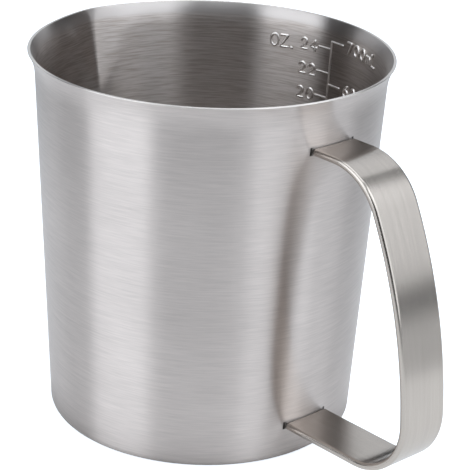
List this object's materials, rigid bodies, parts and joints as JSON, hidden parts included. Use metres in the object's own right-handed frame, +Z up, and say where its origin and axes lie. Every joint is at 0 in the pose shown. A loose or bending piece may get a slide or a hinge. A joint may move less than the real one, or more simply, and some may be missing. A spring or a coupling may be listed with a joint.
{
  "type": "measuring jug",
  "caption": "Tapered stainless-steel measuring jug with a flared lip, a pressed pouring spout, a raised volume scale on the inner wall and a bent strap handle.",
  "frame": {"origin": "middle of the flat base, on the surface that the jug stands on", "axes": "+Z up along the bowl's axis, +X to the handle, -X to the spout, +Y to the side of the inner wall that carries the scale"},
  "size_m": [0.143, 0.1044, 0.1095],
  "materials": {
    "bowl_steel": "fine brush lines that run round the bowl, inside and outside",
    "strap_steel": "satin, with a fine grain along the strap",
    "weld_steel": "dull weld metal with a dark scale, left as welded"
  },
  "bodies": {
    "root": {"body": "bowl_steel", "handle": "strap_steel", "upper_weld": "weld_steel", "lower_weld": "weld_steel"}
  },
  "joints": []
}
